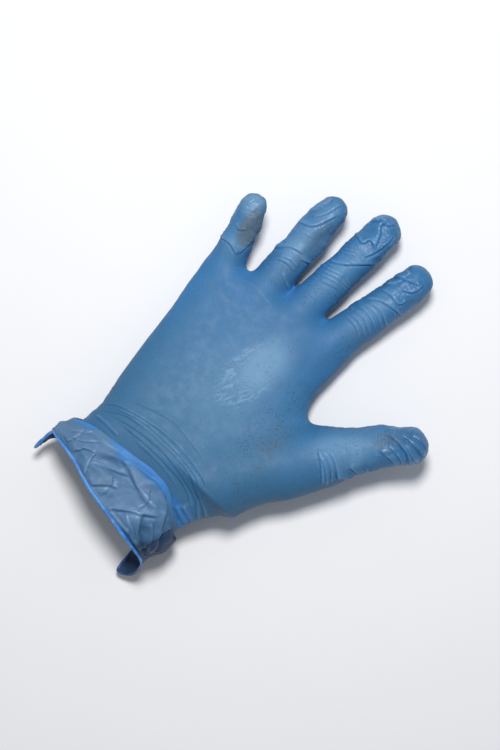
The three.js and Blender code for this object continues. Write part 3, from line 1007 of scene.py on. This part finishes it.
def spot(points, middle, reach):
    """1 at the middle, fading to 0 at reach, which is one number or one per axis."""
    gap = (points - np.array(middle, float)) / np.asarray(reach, float)
    return 1 - smooth_step(np.sqrt((gap**2).sum(1)), 0, 1)


def stall_spot(points, name, station, reach, across=0.0):
    """A spot on the pad side of a digit, at a station along it."""
    local = in_digit(points, DIGITS[name])
    gap = ((local[:, 0] - across) / 10) ** 2 + ((local[:, 1] - station) / reach) ** 2
    return (1 - smooth_step(np.sqrt(gap), 0.2, 1)) * smooth_step(local[:, 2], 0, 4)


def spots(points, table):
    """All of a table's spots together."""
    total = np.zeros(len(points))
    for much, where, *rest in table:
        if isinstance(where, str):
            total += much * stall_spot(points, where, *rest)
        else:
            total += much * spot(points, where, *rest)
    return total


def film_masks(points, normals, ring):
    palm_side = smooth_step(normals[:, 2], -0.1, 0.4)
    y = points[:, 1]
    wobble = noise(points, 6, 91)
    dirt = spots(points, DIRT)
    specks = 0.45 + spots(points, SPECKS)
    painted_sheen = spots(points, PAINTED_SHEEN)
    # Where the painted sheen on the palm runs in streaks.
    sheen_streaks = 2.4 * spot(points, (5, 14, 30), (19, 34, 30))
    fold = FOLD / RIM_END
    x = points[:, 0]
    wide = 0.05 + 0.1 * smooth_step(x, -30, -4) + 0.05 * noise(points, 9, 93)
    band = between(ring, fold - 0.05, fold - 0.02, fold + 0.3 * wide, fold + wide)
    corner = smooth_step(x, 12, 22) * between(ring, 0.2, 0.26, 0.33, 0.4)
    stretch_and_rim_light = np.maximum(band * (1 - smooth_step(x, 16, 26)), corner)
    stretch_and_rim_light *= smooth_step(points[:, 2], 14, 30)
    for name in FINGER_NAMES[1:]:
        root = in_digit(points, DIGITS[name])
        web = bump_at(root[:, 1], 2, 9) * smooth_step(np.abs(root[:, 0]), 5, 11)
        stretch_and_rim_light += 0.35 * web * palm_side * (np.abs(root[:, 0]) < 14)
        # Painted rim light: the fingers' sides towards the light are lighter.
        side = smooth_step(-root[:, 0], 3, 9) * bump_at(root[:, 1], 26, 22) * (root[:, 0] > -13)
        stretch_and_rim_light += 0.45 * side * (digit_field(points, DIGITS[name]) < 2)
    # Painted rim light along the palm's edge on the little finger's side.
    stretch_and_rim_light += 0.4 * spot(points, (-52, 14, 22), (9, 46, 22))
    loose = smooth_step(ring, VALLEY / RIM_END, fold)
    near_tip = np.zeros(len(points))
    for name, digit in DIGITS.items():
        local = in_digit(points, digit)
        near = digit_field(points, digit) < 4
        # A painted sheen along the top of each digit.
        crown = 1 - smooth_step(np.abs(local[:, 0] + 1), 2, 8)
        painted_sheen += 0.4 * near * crown * bump_at(local[:, 1], 0.35 * digit["length"], 0.5 * digit["length"])
        near_tip = np.maximum(near_tip, near * smooth_step(local[:, 1], 16, digit["length"] - 14))
    # Painted shade: the cuff's lower right corner, its side wall on the thumb's side, the inside of its
    # tail and the thumb's tip darken towards navy, and the loose grey is held back there.
    corner_line = x - 28.5 - 0.28 * (y + 96)
    shade = 0.45 * smooth_step(corner_line, -18, -11) + 0.7 * smooth_step(corner_line, -8, -3)
    shaded_corner = smooth_step(corner_line, -24, -8)
    shade *= between(y, -99, -94, -80, -66)
    side_wall = smooth_step(x, 24, 31) * (1 - smooth_step(points[:, 2], 18, 32))
    shade += side_wall * (1 - smooth_step(y, -80, -70))
    shade += spot(points, (32, -106, 5), (12, 13, 22))
    patchy = 1 - 0.25 * noise(points, 10, 92)
    return {
        "dirt": dirt * palm_side * (1 - loose),
        "shade": shade * loose + 0.35 * stall_spot(points, "thumb", 52, 20, 4),
        "specks": specks * (0.3 + 0.7 * palm_side) * (1 - loose),
        "painted_sheen": painted_sheen * palm_side,
        "sheen_streaks": sheen_streaks * palm_side,
        "stretch_and_rim_light": stretch_and_rim_light * (1 - 0.3 * wobble),
        "loose": 0.85 * loose * (1 - 0.6 * shaded_corner) * patchy * (1 - 0.8 * np.clip(stretch_and_rim_light, 0, 1)),
        "puckered": np.maximum(0.8 * near_tip, 0.2 * loose),
    }


# ---- pieces ----
def normals_after(film, points):
    """Moves the film's vertices to the points, and gives the normals there."""
    film.vertices.foreach_set("co", points.ravel())
    film.update()
    return array_of(film.vertex_normals, "vector", 3)


def piece_of(label, faces, points, normals, masks, paint):
    mesh, used = cut_out(label, faces, points, MM)
    mesh.update()
    smooth_and_mask(mesh, {name: values[used] for name, values in masks.items()})
    mesh.normals_split_custom_set_from_vertices(normals[used].tolist())
    mesh.materials.append(paint)
    return placed(label, mesh)


def build_pieces(film):
    """Wrinkles the film and cuts it into its pieces, each keeping the whole film's normals."""
    points = array_of(film.vertices, "co", 3)
    ring = array_of(film.attributes["ring"].data, "value", 1)
    rest = points.copy()
    faces = [tuple(p.vertices) for p in film.polygons]
    quads = np.array([f for f in faces if len(f) == 4])
    points = crumple_cuff(points, ring, faces)
    points[:, 2] = np.maximum(points[:, 2], CUFF_OVER_TABLE)
    normals = normals_after(film, points)
    lift = hand_wrinkles(rest, normals) + cuff_wrinkles(rest, normals, ring)
    unfolded = sharpness(points, normals, quads)
    points = points + lift[:, None] * normals
    points[:, 2] = np.maximum(points[:, 2], FILM_OVER_TABLE)
    normals = normals_after(film, points)
    masks = film_masks(rest, normals, ring)
    sharp = sharpness(points, normals, quads) - unfolded
    # Painted highlights on sharp ridges and on raised folds.
    crest_highlight = 0.8 * smooth_step(sharp, 0.015, 0.09) + 0.3 * smooth_step(lift, 0.3, 1.15)
    at_wrist = bump_at(rest[:, 1], -46, 16) * (1 - masks["loose"])
    masks["crest_highlight"] = crest_highlight * (1 - 0.7 * np.clip(masks["stretch_and_rim_light"], 0, 1)) * (1 - 0.5 * at_wrist)
    # Painted shade in grooves and sunken places.
    masks["hollow"] = 0.7 * smooth_step(-sharp, 0.015, 0.09) + 0.3 * smooth_step(-lift, 0.15, 0.9)
    rest_centres = np.array([rest[list(f)].mean(0) for f in faces])
    face_ring = np.array([ring[list(f)].max() for f in faces])
    labels = label_faces(rest_centres, face_ring)
    paint = nitrile("nitrile_film")
    made = {}
    for label in sorted(set(labels)):
        chosen = [faces[i] for i in np.flatnonzero(labels == label)]
        made[label] = piece_of(label, chosen, points, normals, masks, paint)
    return made


def bead_piece(rim):
    """The rolled rim: a thin uneven roll along the cuff's last ring."""
    count = 260
    t = np.linspace(0, len(rim), count, endpoint=False)
    path = np.stack([np.interp(t, np.arange(len(rim) + 1), np.append(rim[:, i], rim[0, i]))
                     for i in range(3)], 1)
    path = closed_curve(path[::2], count)
    ahead = np.roll(path, -1, 0) - np.roll(path, 1, 0)
    ahead /= np.linalg.norm(ahead, axis=1)[:, None]
    out = path - path.mean(0)
    out -= (out * ahead).sum(1)[:, None] * ahead
    out /= np.linalg.norm(out, axis=1)[:, None]
    side = np.cross(ahead, out)
    sides = 10
    number = np.arange(count * sides)
    i, k = np.divmod(number, sides)
    turn = 2 * math.pi * k / sides
    thick = BEAD_RADIUS * (1 + 0.18 * np.sin(i * 0.37) * np.sin(i * 0.11 + 1))
    thick *= 1 + 0.16 * np.cos(2 * turn + i * 0.05)
    verts = path[i] + (thick * np.cos(turn))[:, None] * out[i] + (thick * np.sin(turn))[:, None] * side[i]
    beside = i * sides + (k + 1) % sides
    faces = [number, beside, (beside + sides) % len(verts), (number + sides) % len(verts)]
    mesh = bpy.data.meshes.new("cuff_bead_roll")
    mesh.from_pydata((verts * MM).tolist(), [], np.stack(faces, 1).tolist())
    # Painted shade: the roll darkens at the tail and on its underside.
    tail = smooth_step(verts[:, 0], 20, 34) * (1 - smooth_step(verts[:, 1], -103, -95))
    under = 1 - smooth_step(verts[:, 2], 6, 22)
    smooth_and_mask(mesh, {"bead_shade": np.maximum(tail, 0.8 * under)})
    mesh.materials.append(bead_nitrile())
    return placed("cuff_bead_roll", mesh)


def bead_nitrile():
    n = Nodes("nitrile_bead")
    colour = n.mix(n.ramp(n.noise(6, 4), 0.35, 0.65), srgb(46, 118, 204), srgb(84, 156, 226))
    colour = n.mix(n.ramp(n.noise(1.2, 3), 0.55, 0.75, 0, 0.4), colour, srgb(36, 84, 150))
    # Painted shade at the tail and underneath.
    colour = n.mix(n.mask("bead_shade"), colour, srgb(30, 66, 112))
    rough = n.ramp(n.noise(3), 0.3, 0.7, 0.35, 0.5)
    n.surface(colour, rough, n.bump(n.noise(1.0, 3), 0.15))
    return n.material


# For each piece of a digit, the body it goes with and the CAD nodes it stands for.
PARTS = {
    "root": ("lower", "knuckle_fold", "lower_stall"),
    "middle": ("middle", "middle_fold", "middle_stall"),
    "tip": ("tip", "tip_fold", "stall_tip"),
}


def fasten(pieces, bead):
    """Ties the palm, cuff and bead to their bodies, and hides the CAD nodes that every piece stands for.
    """
    for name, digit in DIGITS.items():
        root, along = np.array(digit["root"], float), digit["turn"][:, 1]
        for i, part in enumerate(digit["parts"]):
            piece = pieces[f"{name}_{part}_film"]
            body, *nodes = (f"{name}_{word}" for word in PARTS[part])
            middle, half = digit["bends"][i]
            slant = 0 if i else digit["slant"]
            start = root + along * (middle - half)
            end = start + digit["turn"] @ (-slant, 1, 0) * 2 * half / (1 + slant**2)
            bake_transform(piece)
            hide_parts(*nodes)
    wrist = pieces["wrist_film"]
    start, end = ((0, y, 20) for y in WRIST_BEND)
    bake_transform(wrist)
    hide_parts("wrist_fold")
    for piece, body, node, slot in (
        (pieces["palm_film"], "palm", "palm_and_back", "hand_film"),
        (pieces["cuff_film"], "cuff", "cuff", "cuff_film"),
        (bead, "cuff", "cuff_bead", "rim_bead"),
    ):
        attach(piece, body)
        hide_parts(node)


# ---- table, light and camera ----
def plain(name, colour, roughness):
    n = Nodes(name)
    lighter = tuple(min(1, c * 1.02) for c in colour)
    n.surface(n.mix(n.noise(40, 3), colour, lighter), roughness)
    return n.material


def add_table():
    mesh = bpy.data.meshes.new("table")
    half = 3.0
    top = cad_box[0][2] - 0.0004  # just below the glove
    corners = [(-half, -half, top), (half, -half, top), (half, half, top), (-half, half, top)]
    mesh.from_pydata(corners, [], [(0, 1, 2, 3)])
    mesh.materials.append(plain("table_white", (0.86, 0.86, 0.87, 1), 0.7))
    placed("table", mesh)


def add_light(name, place, size, watts, target=(0, 0.02, 0.02)):
    data = bpy.data.lights.new(name, "AREA")
    data.shape = "DISK"
    data.size = size
    data.energy = watts
    lamp = placed(name, data)
    lamp.location = place
    lamp.rotation_euler = (Vector(target) - Vector(place)).to_track_quat("-Z", "Y").to_euler()


def add_camera():
    """Straight above the palm, with the fingers towards the upper right of the frame."""
    data = bpy.data.cameras.new("camera")
    data.lens = 85
    data.sensor_width = 36
    field = 0.3975  # height of the frame at the middle of the glove
    distance = field * data.lens / data.sensor_width
    camera = placed("camera", data)
    camera.location = (0.0053, 0.0132, 0.02 + distance)
    camera.rotation_euler = (0, 0, math.radians(45))
    bpy.context.scene.camera = camera


def add_world(strength):
    world = bpy.data.worlds.new("studio")
    world.use_nodes = True
    sky = world.node_tree.nodes["Background"].inputs
    sky["Color"].default_value = (0.9, 0.94, 1, 1)
    sky["Strength"].default_value = strength
    bpy.context.scene.world = world


film = whole_film()
pieces = build_pieces(film)
ring_height = array_of(film.attributes["ring"].data, "value", 1)
rim_points = array_of(film.vertices, "co", 3)[ring_height >= 1 - 1e-6]
bead = bead_piece(rim_points)
fasten(pieces, bead)
add_table()
add_light("key", (-0.2, 0.24, 0.88), 0.22, 7.4)
add_world(0.3)
add_camera()
bpy.context.scene.view_settings.view_transform = "Standard"
